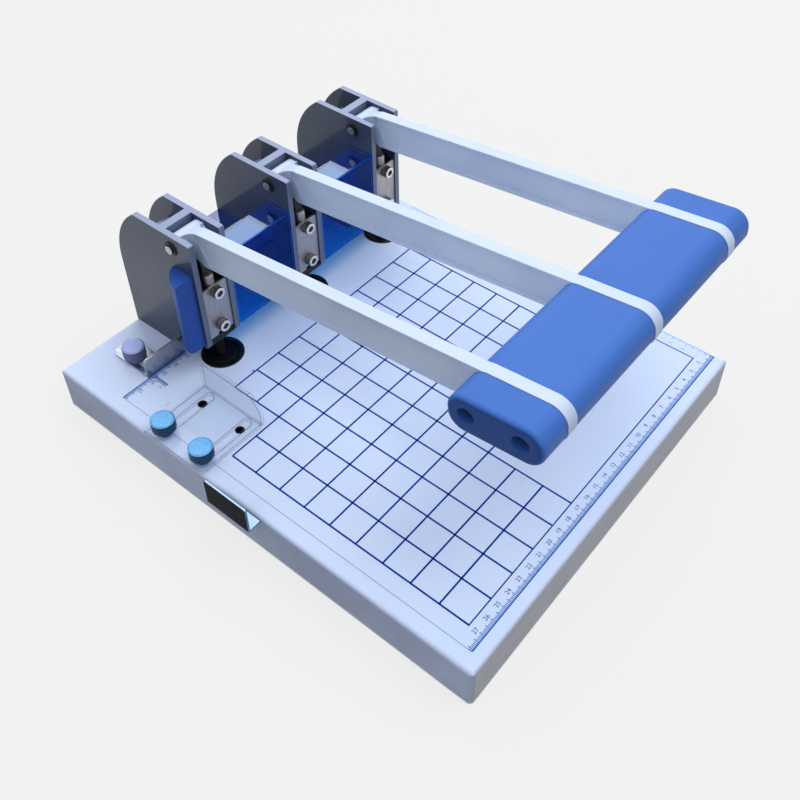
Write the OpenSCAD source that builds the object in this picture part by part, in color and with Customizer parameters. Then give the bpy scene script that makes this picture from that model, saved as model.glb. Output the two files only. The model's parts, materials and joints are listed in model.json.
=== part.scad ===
// Three-head paper punch for binding: sheet-steel base, three upright brackets,
// three levers on one handle, and adjustable paper stops.
// Lengths are in millimetres. Z is up, and the handle faces -Y.

/* [Base] */
// Width of the steel base, left to right
base_w = 286; // [284:1:300]
// Depth of the base, front to back
base_d = 340; // [338:1:352]
// Height of the base box above its feet
base_h = 32; // [28:0.5:45]
// Radius of the bent edges round the top
base_edge_r = 3; // [2:0.5:5]
// Thickness of the folded steel sheet
sheet_t = 1.5; // [1.2:0.1:2]
// Height of the rubber feet
foot_h = 3; // [3:0.5:6]
// Radius of the rubber feet
foot_r = 9; // [7:0.5:12]
// Distance of each foot's centre from the base's sides
foot_inset = 18; // [16:1:24]
// Radius of the posts that tie the deck to the floor
post_r = 6; // [5:0.5:8]
// Distance from the base's left edge to the zero line of the printed grid
margin_left = 22; // [20:1:24]
// Distance from the base's rear edge to the brackets
margin_rear = 1; // [0.5:0.5:3]

/* [Heads] */
// Distance from the grid's zero line to the first punch
first_head_x = 57; // [56:0.5:58]
// Distance between neighbouring punches
head_pitch = 83; // [80:0.5:85]
// Width of a bracket over its two plates
bracket_w = 28.5; // [27:0.5:32]
// Thickness of a bracket's side plate
plate_t = 4; // [3:0.25:5]
// Height of a bracket above the deck
bracket_h = 103; // [101:1:106]
// Front edge of the brackets, from the grid's zero line
bracket_front_y = 244.5; // [243:0.5:245]
// Rear edge of the brackets, from the grid's zero line
bracket_rear_y = 320; // [317:0.5:320]
// Radius of the rounded back
back_r = 58; // [54:1:62]
// Radius of the front upper corner
front_corner_r = 1.5; // [1:0.5:4]
// Height of the slot that takes the paper
throat_h = 17; // [16.5:0.5:18]
// Depth line of the paper slot, from the grid's zero line
throat_y = 273; // [272.5:0.5:276]
// Radius in the corner of the paper slot
throat_r = 2; // [1:0.5:4]
// Front face of the cross web, from the grid's zero line
web_y = 269.5; // [268.5:0.5:271]
// Thickness of the cross web
web_t = 6; // [4:0.5:8]
// Depth of the back's arc centre below the bracket's top
arc_drop = 47; // [43:1:49]
// Depth of the rear bridge's top below the bracket's top
bridge_drop = 16; // [11:1:23]
// Length of the rear bridge behind the web
bridge_l = 20; // [14:1:24]
// Height of the foot block between the plates
foot_block_h = 12; // [10:1:14]

/* [Punches] */
// Centre line of the punches, from the grid's zero line
ram_y = 251; // [250:0.25:252]
// Radius of the ram
ram_r = 4; // [3.5:0.25:4.5]
// Radius of the hollow punch
punch_r = 3; // [2.5:0.25:3.25]
// Radius of the hole up the punch
punch_bore_r = 2.2; // [1.5:0.1:2.3]
// Gap from the punch's cutting edge to its pad at the bottom of the stroke
punch_gap = 0.05; // [0.05:0.05:0.2]
// Bottom of the sliding block, above the deck
slide_z = 22; // [21.5:0.5:23]
// Height of the ram's top above the sliding block
ram_show = 8.1; // [6:0.1:10]
// Width of the sliding block and of its cover plate
slide_w = 20.2; // [19:0.1:20.3]
// Thickness of the cover plate
cover_t = 1.5; // [1:0.25:2]
// Height of the cover plate's top above the sliding block
cover_rise = 1; // [0:0.5:3]
// Chamfer on the cover plate's upper corners
cover_chamfer = 1.2; // [0.8:0.1:4]
// Height of the lower clamping screw above the block's bottom
screw_low = 8; // [7.6:0.1:9]
// Depth of the upper clamping screw below the block's top
screw_high = 3.6; // [3.2:0.1:6]
// Bottom of the stripper plate, above the deck
stripper_z = 16; // [15.8:0.1:16.5]
// Thickness of the stripper plate
stripper_t = 5; // [4:0.25:5.25]
// Centre line of the cutting pads, from the grid's zero line
pad_y = 249.4; // [248.5:0.1:250.5]
// Radius of the pad's metal cup
cup_r = 14.6; // [14:0.2:15.5]
// Height of the cup's rim above the deck
cup_rim_h = 0.8; // [0.4:0.1:1]
// Depth of the pad's face below the deck
pad_drop = 1; // [0.6:0.1:1.2]

/* [Levers] */
// Depth of the lever pivot below the bracket's top
pivot_drop = 9.5; // [8.5:0.25:11]
// Lever pivot, from the grid's zero line
pivot_y = 262; // [261:0.25:263]
// Radius of the pivot pin
pin_r = 3; // [2.5:0.25:3.5]
// Upward slope of the levers when they are down
lever_tilt = 5.75; // [4:0.25:7]
// Radius of the lever's hub
hub_r = 7.2; // [6.9:0.1:7.4]
// Width of the lever's hub
hub_w = 19.6; // [18.5:0.1:20]
// Thickness of the lever arm
arm_w = 7.8; // [7:0.1:9]
// Rise of the arm's top edge above the pivot line, at its root
arm_root_top = 10; // [9:0.25:10.5]
// Rise of the arm's top edge above the pivot line, at the handle
arm_end_top = 11; // [10:0.25:11]
// Drop of the arm's bottom edge below the pivot line, at its root
arm_root_drop = 14.2; // [12:0.1:15]
// Drop of the arm's bottom edge below the pivot line, at the handle
arm_end_drop = 13.3; // [12:0.1:14]
// Width of the rim over the arm's side recesses
rim_w = 1.4; // [1:0.1:3]
// Height of the ledge under the arm's side recesses
ledge_h = 2.5; // [1.5:0.1:4]
// Thickness of the arm between its side recesses
arm_web_t = 3.8; // [2:0.1:4.5]
// Thickness of the cam
cam_t = 6; // [5:0.25:7]
// Drop of the ram's top below the pivot when the levers are down
cam_drop = 23.35; // [22.5:0.05:24]

/* [Handle] */
// Distance from the pivot to the middle of the handle
handle_s = 248.3; // [240:0.5:252]
// Length of the handle's section along the levers
handle_l = 57; // [54:0.5:60]
// Thickness of the handle
handle_t = 23.5; // [22.5:0.5:25]
// Rise of the handle's top above the pivot line
handle_top = 11; // [10.5:0.25:11.5]
// Radius of the handle's corners
handle_r = 10.5; // [8:0.25:10.5]
// Length of each end cap
cap_l = 21.2; // [18:0.2:24]
// Rounding of the outer edge of the end caps
cap_edge_r = 3; // [2:0.25:4]
// Amount by which the lever's white bands stand proud of the handle
band_proud = 0.4; // [0.2:0.1:1]
// Distance between the two tie rods
rod_pitch = 32; // [28:0.5:34]
// Radius of the tie rods
rod_r = 3; // [2.5:0.25:3]
// Radius of the nut holes in the end caps
nut_hole_r = 5.2; // [4.2:0.1:5.6]

/* [Guards] */
// Thickness of the clear blue sheet
guard_t = 2; // [1.5:0.1:3]
// Height of the guards' lower front edge above the deck
guard_z0 = 19.5; // [18:0.5:21]
// Depth of the guards' top below the bracket's top
guard_drop = 23; // [19:1:27]
// Depth of the upper part of a guard
guard_top_d = 21; // [19:0.5:24]
// Height of the guards' rear shelf above the deck
guard_shelf_z = 48; // [44:1:54]
// Radius of the side guard's curved face
side_guard_r = 20.7; // [19.5:0.1:22]
// Rounding of the side guard's lower outer edge
side_guard_edge_r = 6; // [3:0.5:8]

/* [Paper stops] */
// Thickness of the acrylic guide
acrylic_t = 2.5; // [2:0.25:3]
// Length of the acrylic guide, front to back
acrylic_l = 53; // [50:0.5:56]
// Width of the acrylic guide's flat plate
acrylic_w = 51; // [49:0.5:53]
// Height of the acrylic guide's upright fin
fin_h = 25; // [20:0.5:30]
// Width of the slots for the knob screws
slot_w = 5.6; // [5.4:0.1:6]
// Radius of the knobs' knurled heads
knob_r = 7.7; // [7:0.1:9]
// Number of knurls round a knob
knurl_count = 36; // [24:2:44]
// Radius of the knobs' screws
knob_screw_r = 2.45; // [2.2:0.05:2.5]
// Thickness of the rear stop's sheet
rear_stop_t = 1.5; // [1:0.1:2]
// Height of the rear stop's upright
rear_stop_h = 15.4; // [12:0.2:15.6]
// Width of the side stop's tongue
side_stop_w = 34.5; // [30:0.5:40]
// Thickness of the side stop's sheet
side_stop_t = 1.2; // [1:0.1:1.5]
// Distance from the base's side to the side stop's outer face
side_reach = 9; // [7:0.5:14]
// Height of the side stop's upright above the deck
side_stop_h = 17; // [12:0.5:22]

/* [Hidden] */
$fn = 64;

// Small overlap that lets a cut run past a face
cut = 1;
// Running clearance of a shaft in its bore
run = 0.05;
// Clearance of a bolt in its hole
bolt_gap = 0.1;
// Gap between the cam and the ram's top
cam_gap = 0.05;

// Places on the deck, with the printed grid's corner as zero
deck_z = foot_h + base_h;
grid_x0 = -(base_w + side_reach) / 2 + side_reach + margin_left;
grid_y0 = base_d / 2 - bracket_rear_y - margin_rear;
base_x0 = -margin_left;
base_x1 = base_x0 + base_w;
base_y1 = bracket_rear_y + margin_rear;
base_y0 = base_y1 - base_d;
floor_z = foot_h + sheet_t - deck_z;

// Feet, posts and their screws
foot_places = [
    for (x = [base_x0 + foot_inset, base_x1 - foot_inset])
        for (y = [base_y0 + foot_inset, base_y1 - foot_inset]) [x, y]
];
floor_screw_r = 2;
floor_screw_head_r = 3.8;
floor_screw_head_h = 1.8;
floor_screw_l = 16;

// Brackets
inner_w = bracket_w - 2 * plate_t;
foot_block_y = throat_y + 3;
bolt_r = 3;
bolt_head_r = 5.5;
bolt_head_h = 4;
bolt_l = 16;
bolt_front_inset = 7;
bolt_rear_inset = 9;
bolt_y = [foot_block_y + bolt_front_inset, bracket_rear_y - bolt_rear_inset];
bridge_z = bracket_h - bridge_drop;
stiffener_t = 6;
stiffener_gap = 2.75;
stiffener_edge = 4;
cup_body_r = cup_r - 1.2;
cup_depth = sheet_t + stiffener_t;
cup_floor_t = 1.5;
pad_r = cup_body_r - 1.6;
pad_groove_r = 8;
pad_groove_w = 1.2;
pad_groove_d = 0.5;

// Sliding parts
pivot_z = bracket_h - pivot_drop;
ram_top_z = pivot_z - cam_drop;
slide_h = ram_top_z - cam_gap - ram_show - slide_z;
cover_h = slide_h + cover_rise;
screw_z = [slide_z + screw_low, slide_z + slide_h - screw_high];
slide_y0 = ram_y - ram_r;
slide_y1 = web_y - 0.5;
clamp_screw_r = 2;
clamp_head_r = 3.1;
clamp_head_h = 4;
clamp_screw_l = 12;
socket_r = 1.7;
socket_d = 2.4;
punch_seat = 8;
punch_z = punch_gap - pad_drop;
spring_y = (ram_y + ram_r + slide_y1) / 2 + 0.5;
spring_r = 4;
spring_wall = 1;
spring_pocket_r = spring_r + 0.4;
spring_roof = 14;
spring_pocket_h = slide_h - spring_roof;
stripper_top = stripper_z + stripper_t;

// Lever and cam; s runs forward from the pivot, h stands square to the arm
base_circle_r = pivot_y - ram_y;
cam_lead = cam_drop / base_circle_r;
cam_angles = [-70 : 3 : 2];
cam_ring_r = 5.5;
cam_slot_w = cam_t + 0.2;
cam_tongue_l = 13;
cam_tongue_h = 2;
cam_root = 8;
arm_root_s = 14;
arm_seat = 1;
handle_h = handle_top - handle_t / 2;
band_l = handle_l + 2 * band_proud;
band_t = handle_t + 2 * band_proud;
arm_end_s = handle_s - band_l / 2 - 2;
recess_s1 = arm_end_s - 2;
rod_s = [handle_s - rod_pitch / 2, handle_s + rod_pitch / 2];
fairing_r = (hub_w - arm_w) / 2;
fairing_s = 4;
fairing_end = fairing_s + fairing_r;
recess_s0 = (fairing_end + arm_root_top * sin(lever_tilt)) / cos(lever_tilt) + 0.3;
recess_slant = 8.8;

// Handle pieces along X, from the first band
band_x = [for (i = [0 : 2]) first_head_x + i * head_pitch];
grip_l = head_pitch - arm_w;
nut_hole_d = 14;
nut_l = 6;
nut_r = nut_hole_r - 0.2;
nut_socket_r = 2.5;

// Pivot pins and clips
clip_t = 0.9;
clip_r = 5;
clip_groove_r = pin_r - 0.7;
pin_end = 1.2;
pin_l = bracket_w + 2 * (clip_t + pin_end);

// Guards
guard_y0 = bracket_front_y - 0.5;
guard_z1 = bracket_h - guard_drop;
guard_rear_y = bracket_rear_y - 1.5;
guard_l = head_pitch - bracket_w;
guard_bend_r = 3;
side_guard_front = bracket_front_y + 1.9;
side_guard_y = bracket_front_y;
side_guard_out = 13.4;
side_guard_z0 = guard_z0 + 0.5;
side_guard_z1 = guard_z1 - 1;

// Acrylic guide
guide_x0 = base_x0;
guide_x1 = guide_x0 + acrylic_w;
guide_y0 = 183;
guide_corner_r = 4;
guide_screw_x = -13.5;
guide_screw_y = [191.4, 225.6];
spare_x = 17;
slot_x1 = guide_x1 - acrylic_t - slot_w / 2 - 0.5;
slot_x0 = guide_screw_x - 1;
fin_y0 = guide_y0 - 2;
fin_bulge_r = 18;
fin_bulge_z = 9;

// Rear stop
rear_stop_x0 = 10;
rear_stop_w = 17.5;
rear_corner_r = 5;
rear_flange_l = 35;
rear_flange_y = 270;
rear_tongue_l = 37;
rear_screw = [16.5, 290];
rear_slot_y = [278, 300];

// Knobs
knob_head_h = 8;
knob_hub_h = 3;
knob_rim = 0.5;
knob_hub_r = 5.5;
knob_screw_l = 7;
knurl_r = 0.5;
nut_sleeve_r = 3.1;
nut_sleeve_l = 9;
thread_r = knob_screw_r + run;

// Side stop
side_stop_y0 = 134.5;
side_stop_z = -3.6;
side_stop_in = 80;
side_slot_gap = 0.4;
rail_w = 6;
rail_grip = 2;
rail_z0 = side_stop_z - 1.6;

module on_deck() {
    translate([grid_x0, grid_y0, deck_z])
        children();
}

module at_head(i) {
    on_deck()
        translate([first_head_x + i * head_pitch, 0, 0])
            children();
}

// Lays an outline drawn in Y and Z along X, from x0 on
module along_x(x0, l) {
    translate([x0, 0, 0])
        rotate([90, 0, 90])
            linear_extrude(l)
                children();
}

// Round bar along X, centred on x = 0
module bar_x(r, l, y, z) {
    translate([-l / 2, y, z])
        rotate([0, 90, 0])
            cylinder(r = r, h = l);
}

// Places outlines drawn in s and h on the lever's plane, l wide along X from x0
module on_lever(x0, l) {
    translate([x0, pivot_y, pivot_z])
        rotate([-lever_tilt, 0, 0])
            rotate([90, 0, 90])
                linear_extrude(l)
                    mirror([1, 0])
                        children();
}

// Corner waste: takes a square corner at the origin down to radius r
module corner_waste(r) {
    difference() {
        translate([-cut, -r])
            square([r + cut, r + cut]);
        translate([r, -r])
            circle(r);
    }
}

module rounded_rect(l, w, r) {
    union() {
        translate([-l / 2 + r, -w / 2])
            square([l - 2 * r, w]);
        translate([-l / 2, -w / 2 + r])
            square([l, w - 2 * r]);
        for (x = [-1, 1])
            for (y = [-1, 1])
                translate([x * (l / 2 - r), y * (w / 2 - r)])
                    circle(r);
    }
}

module slot_2d(x0, x1, w) {
    union() {
        translate([x0, -w / 2])
            square([x1 - x0, w]);
        translate([x0, 0])
            circle(w / 2);
        translate([x1, 0])
            circle(w / 2);
    }
}

// Arch outline: flat at the bottom, rounded at both upper corners
module arch_2d(x0, l, h, r) {
    union() {
        translate([x0, 0])
            square([l, h - r]);
        translate([x0 + r, 0])
            square([l - 2 * r, h]);
        translate([x0 + r, h - r])
            circle(r);
        translate([x0 + l - r, h - r])
            circle(r);
    }
}

// Base

module base_solid() {
    intersection() {
        translate([0, base_y1, floor_z])
            rotate([90, 0, 0])
                linear_extrude(base_d)
                    arch_2d(base_x0, base_w, -floor_z, base_edge_r);
        translate([0, 0, floor_z])
            along_x(base_x0, base_w)
                arch_2d(base_y0, base_d, -floor_z, base_edge_r);
        translate([base_x0 + base_w / 2, base_y0 + base_d / 2, floor_z])
            linear_extrude(-floor_z)
                rounded_rect(base_w, base_d, base_edge_r);
    }
}

module deck_holes(depth) {
    for (i = [0 : 2]) {
        x = first_head_x + i * head_pitch;
        translate([x, pad_y, -depth])
            cylinder(r = cup_body_r + bolt_gap, h = depth + cut);
        for (y = bolt_y)
            translate([x, y, -depth])
                cylinder(r = bolt_r + bolt_gap, h = depth + cut);
    }
}

module nut_places() {
    for (y = guide_screw_y)
        for (x = [guide_screw_x, spare_x])
            translate([x, y, 0])
                children();
    translate([rear_screw[0], rear_screw[1], 0])
        children();
}

module base_shell() {
    color("whitesmoke")
        on_deck()
            difference() {
                base_solid();
                translate([base_x0 + sheet_t, base_y0 + sheet_t, floor_z - cut])
                    cube([base_w - 2 * sheet_t, base_d - 2 * sheet_t, cut - floor_z - sheet_t]);
                deck_holes(sheet_t + cut);
                nut_places()
                    translate([0, 0, -sheet_t - cut])
                        cylinder(r = nut_sleeve_r + run, h = sheet_t + 2 * cut);
                translate([base_x0 - cut, side_stop_y0 - side_slot_gap, side_stop_z - side_slot_gap])
                    cube([sheet_t + 2 * cut, side_stop_w + 2 * side_slot_gap,
                          side_stop_t + 2 * side_slot_gap]);
            }
}

module floor_plate() {
    color("silver")
        on_deck()
            difference() {
                translate([base_x0 + base_w / 2, base_y0 + base_d / 2, floor_z - sheet_t])
                    linear_extrude(sheet_t)
                        rounded_rect(base_w, base_d, base_edge_r);
                for (p = foot_places)
                    translate([p[0], p[1], floor_z - sheet_t - cut])
                        cylinder(r = floor_screw_r + bolt_gap, h = sheet_t + 2 * cut);
            }
}

module corner_posts() {
    color("silver")
        on_deck()
            for (p = foot_places)
                translate([p[0], p[1], floor_z])
                    difference() {
                        cylinder(r = post_r, h = -floor_z - sheet_t);
                        translate([0, 0, -cut])
                            cylinder(r = floor_screw_r + run, h = floor_screw_l + cut);
                    }
}

module feet() {
    color("dimgray")
        on_deck()
            for (p = foot_places)
                translate([p[0], p[1], -deck_z])
                    difference() {
                        cylinder(r1 = foot_r - 0.8, r2 = foot_r, h = foot_h);
                        translate([0, 0, -cut])
                            cylinder(r = floor_screw_head_r + 0.4, h = foot_h - 1 + cut);
                        cylinder(r = floor_screw_r + bolt_gap, h = foot_h + cut);
                    }
}

module floor_screws() {
    color("silver")
        on_deck()
            for (p = foot_places)
                translate([p[0], p[1], foot_h - 1 - deck_z])
                    difference() {
                        union() {
                            translate([0, 0, -floor_screw_head_h])
                                cylinder(r = floor_screw_head_r, h = floor_screw_head_h);
                            cylinder(r = floor_screw_r, h = floor_screw_l);
                        }
                        for (a = [0, 90])
                            rotate([0, 0, a])
                                translate([-2.4, -0.5, -floor_screw_head_h - cut])
                                    cube([4.8, 1, 1 + cut]);
                    }
}

module stiffener() {
    x0 = first_head_x - bracket_w / 2;
    x1 = base_x1 - foot_inset - post_r - stiffener_gap;
    y0 = pad_y - cup_r - stiffener_edge;
    color("gray")
        on_deck()
            difference() {
                translate([x0, y0, -sheet_t - stiffener_t])
                    cube([x1 - x0, bracket_rear_y - y0 - 1, stiffener_t]);
                translate([0, 0, -sheet_t])
                    deck_holes(stiffener_t + cut);
            }
}

module bracket_bolts() {
    color("silver")
        for (i = [0 : 2])
            at_head(i)
                for (y = bolt_y)
                    translate([0, y, -sheet_t - stiffener_t]) {
                        translate([0, 0, -bolt_head_h])
                            cylinder(r = bolt_head_r, h = bolt_head_h, $fn = 6);
                        cylinder(r = bolt_r, h = bolt_l);
                    }
}

// Heads

module bracket_outline() {
    arc_y = bracket_rear_y - back_r;
    arc_z = bracket_h - arc_drop;
    difference() {
        union() {
            translate([bracket_front_y, 0])
                square([bracket_rear_y - bracket_front_y, arc_z]);
            intersection() {
                translate([arc_y, arc_z])
                    circle(back_r);
                translate([bracket_front_y, arc_z - cut])
                    square([bracket_rear_y - bracket_front_y, bracket_h - arc_z + cut]);
            }
        }
        translate([bracket_front_y, bracket_h])
            corner_waste(front_corner_r);
        difference() {
            translate([bracket_front_y - cut, -cut])
                square([throat_y - bracket_front_y + cut, throat_h + cut]);
            translate([throat_y, throat_h])
                mirror([1, 0])
                    corner_waste(throat_r);
        }
        translate([bracket_front_y, throat_h])
            mirror([0, 1])
                corner_waste(1.5);
        translate([pivot_y, pivot_z])
            circle(pin_r + run);
    }
}

module bracket(i) {
    color("lightslategray")
        at_head(i)
            difference() {
                union() {
                    for (x = [-bracket_w / 2, inner_w / 2])
                        along_x(x, plate_t)
                            bracket_outline();
                    translate([-inner_w / 2, web_y, throat_h])
                        cube([inner_w, web_t, bracket_h - throat_h]);
                    translate([-inner_w / 2, web_y + web_t, bridge_z - web_t])
                        cube([inner_w, bridge_l, web_t]);
                    translate([-inner_w / 2, foot_block_y, 0])
                        cube([inner_w, bracket_rear_y - foot_block_y, foot_block_h]);
                }
                for (y = bolt_y)
                    translate([0, y, -cut])
                        cylinder(r = bolt_r + run, h = bolt_l - sheet_t - stiffener_t + 1 + cut);
            }
}

module stripper(i) {
    color("black")
        at_head(i)
            difference() {
                translate([-inner_w / 2, bracket_front_y + 1.5, stripper_z])
                    cube([inner_w, web_y - bracket_front_y - 1.5, stripper_t]);
                translate([0, ram_y, stripper_z - cut])
                    cylinder(r = punch_r + bolt_gap, h = stripper_t + 2 * cut);
                translate([0, ram_y, stripper_z - cut])
                    cylinder(r1 = punch_r + 2.4, r2 = punch_r + bolt_gap, h = 2 + cut);
            }
}

module pad_cups() {
    color("silver")
        for (i = [0 : 2])
            at_head(i)
                translate([0, pad_y, 0])
                    rotate_extrude()
                        polygon([
                            [0, -cup_depth], [cup_body_r, -cup_depth], [cup_body_r, 0], [cup_r, 0],
                            [cup_r, cup_rim_h - 0.3], [cup_r - 0.3, cup_rim_h],
                            [pad_r + run, cup_rim_h], [pad_r + run, cup_floor_t - cup_depth],
                            [0, cup_floor_t - cup_depth]
                        ]);
}

module pads() {
    color("black")
        for (i = [0 : 2])
            at_head(i)
                translate([0, pad_y, cup_floor_t - cup_depth])
                    difference() {
                        cylinder(r = pad_r, h = cup_depth - cup_floor_t - pad_drop);
                        translate([0, 0, cup_depth - cup_floor_t - pad_drop - pad_groove_d])
                            difference() {
                                cylinder(r = pad_groove_r + pad_groove_w, h = pad_groove_d + cut);
                                translate([0, 0, -cut])
                                    cylinder(r = pad_groove_r, h = pad_groove_d + 3 * cut);
                            }
                    }
}

module pivot_pins() {
    color("gainsboro")
        for (i = [0 : 2])
            at_head(i)
                difference() {
                    bar_x(pin_r, pin_l, pivot_y, pivot_z);
                    for (x = [-bracket_w / 2 - clip_t, bracket_w / 2])
                        translate([x, pivot_y, pivot_z])
                            rotate([0, 90, 0])
                                difference() {
                                    cylinder(r = pin_r + cut, h = clip_t);
                                    translate([0, 0, -cut])
                                        cylinder(r = clip_groove_r, h = clip_t + 2 * cut);
                                }
                }
}

module e_clip() {
    rotate([0, 90, 0])
        linear_extrude(clip_t)
            difference() {
                circle(clip_r);
                circle(clip_groove_r);
                translate([0, -clip_groove_r * 0.9])
                    square([clip_r + cut, clip_groove_r * 1.8]);
                for (a = [125, 235])
                    rotate([0, 0, a])
                        translate([clip_groove_r + 0.6, 0])
                            circle(0.9);
            }
}

module e_clips() {
    color("black")
        for (i = [0 : 2])
            at_head(i)
                for (x = [-bracket_w / 2 - clip_t, bracket_w / 2])
                    translate([x, pivot_y, pivot_z])
                        e_clip();
}

// Sliding block that carries the ram and the punch

module screw_axis(y) {
    for (z = screw_z)
        translate([0, y, z])
            rotate([-90, 0, 0])
                children();
}

module slide(i) {
    color("dimgray")
        at_head(i)
            difference() {
                translate([-slide_w / 2, slide_y0, slide_z])
                    cube([slide_w, slide_y1 - slide_y0, slide_h]);
                translate([0, 0, slide_z - cut])
                    linear_extrude(slide_h + 2 * cut)
                        translate([0, ram_y])
                            rotate([0, 0, -90])
                                slot_2d(0, 2 * ram_r, 2 * ram_r);
                translate([0, spring_y, slide_z - cut])
                    cylinder(r = spring_pocket_r, h = spring_pocket_h + cut);
                screw_axis(slide_y0)
                    cylinder(r = clamp_screw_r, h = clamp_screw_l - cover_t + run);
            }
}

module cover(i) {
    z0 = slide_z;
    color("lightgray")
        at_head(i)
            difference() {
                translate([0, slide_y0, 0])
                    rotate([90, 0, 0])
                        linear_extrude(cover_t)
                            difference() {
                                polygon([
                                    [-slide_w / 2, z0], [slide_w / 2, z0],
                                    [slide_w / 2, z0 + cover_h - cover_chamfer],
                                    [slide_w / 2 - cover_chamfer, z0 + cover_h],
                                    [-slide_w / 2 + cover_chamfer, z0 + cover_h],
                                    [-slide_w / 2, z0 + cover_h - cover_chamfer]
                                ]);
                                translate([-punch_r, z0 - cut])
                                    square([2 * punch_r, 2.5 + cut]);
                            }
                screw_axis(slide_y0 - cover_t - cut)
                    cylinder(r = clamp_screw_r + bolt_gap, h = cover_t + 2 * cut);
            }
}

module clamp_screws(i) {
    color("silver")
        at_head(i)
            screw_axis(slide_y0 - cover_t)
                difference() {
                    union() {
                        translate([0, 0, -clamp_head_h])
                            cylinder(r1 = clamp_head_r - 0.3, r2 = clamp_head_r, h = 0.3);
                        translate([0, 0, 0.3 - clamp_head_h])
                            cylinder(r = clamp_head_r, h = clamp_head_h - 0.3);
                        cylinder(r = clamp_screw_r, h = clamp_screw_l);
                    }
                    translate([0, 0, -clamp_head_h - cut])
                        cylinder(r = socket_r, h = socket_d + cut, $fn = 6);
                }
}

module ram(i) {
    color("gainsboro")
        at_head(i)
            difference() {
                translate([0, ram_y, slide_z])
                    union() {
                        cylinder(r = ram_r, h = ram_top_z - slide_z - cam_gap - 0.8);
                        translate([0, 0, ram_top_z - slide_z - cam_gap - 0.8])
                            cylinder(r1 = ram_r, r2 = ram_r - 0.8, h = 0.8);
                    }
                translate([0, ram_y, slide_z - cut])
                    cylinder(r = punch_r, h = punch_seat + cut);
                screw_axis(slide_y0 - cut)
                    cylinder(r = clamp_screw_r, h = 2 * ram_r + 2 * cut);
            }
}

module punch(i) {
    z1 = slide_z + punch_seat;
    color("black")
        at_head(i)
            difference() {
                translate([0, ram_y, 0])
                    rotate_extrude()
                        polygon([
                            [punch_bore_r, punch_z], [punch_bore_r + 0.1, punch_z],
                            [punch_r, punch_z + 1.6], [punch_r, z1], [0, z1],
                            [0, z1 - 4], [punch_bore_r, z1 - 4]
                        ]);
                translate([0, slide_y0 - cut, screw_z[0]])
                    rotate([-90, 0, 0])
                        cylinder(r = clamp_screw_r, h = 2 * ram_r + 2 * cut);
            }
}

module spring(i) {
    color("silver")
        at_head(i)
            translate([0, spring_y, stripper_top])
                difference() {
                    cylinder(r = spring_r, h = slide_z + spring_pocket_h - stripper_top);
                    translate([0, 0, -cut])
                        cylinder(r = spring_r - spring_wall, h = slide_h + spring_pocket_h);
                }
}

// Levers

// Point of the cam face: the involute of a circle as wide as the ram's offset from the pivot.
// With this face, the ram's flat top rises by the same amount for each degree of lever.
function cam_point(g) =
    let (along = base_circle_r * (cam_lead + g * PI / 180))
    [base_circle_r * cos(g) + along * sin(g), base_circle_r * sin(g) - along * cos(g)];

// The cam is drawn level, as the ram sees it when the levers are down
module cam(i) {
    color("dimgray")
        at_head(i)
            translate([-cam_t / 2, pivot_y, pivot_z])
                rotate([90, 0, 90])
                    linear_extrude(cam_t)
                        mirror([1, 0])
                            difference() {
                                union() {
                                    circle(cam_ring_r);
                                    polygon(concat(
                                        [[-cam_ring_r, 0]],
                                        [for (g = cam_angles) cam_point(g)],
                                        [[cam_ring_r + cam_root / 2, -cam_root], [cam_ring_r, 0]]
                                    ));
                                    rotate([0, 0, lever_tilt])
                                        translate([0, -cam_root])
                                            square([cam_tongue_l, cam_root + cam_tongue_h]);
                                }
                                circle(pin_r + run);
                            }
}

module arm_outline() {
    polygon([
        [0, arm_seat - hub_r], [arm_root_s, -arm_root_drop], [arm_end_s, -arm_end_drop],
        [arm_end_s + 10, handle_h - handle_t / 2], [handle_s, handle_h - handle_t / 2],
        [handle_s, arm_end_top], [arm_root_s, arm_root_top], [0, hub_r - arm_seat]
    ]);
}

// Edges of the arm at s, for the side recesses
function arm_top(s) =
    arm_root_top + (arm_end_top - arm_root_top) * (s - arm_root_s) / (handle_s - arm_root_s);
function arm_drop(s) =
    arm_root_drop + (arm_end_drop - arm_root_drop) * (s - arm_root_s) / (arm_end_s - arm_root_s);

module recess_outline() {
    polygon([
        [recess_s0, arm_top(recess_s0) - rim_w],
        [recess_s0 + recess_slant, ledge_h - arm_drop(recess_s0 + recess_slant)],
        [recess_s1, ledge_h - arm_drop(recess_s1)],
        [recess_s1, arm_top(recess_s1) - rim_w]
    ]);
}

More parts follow.
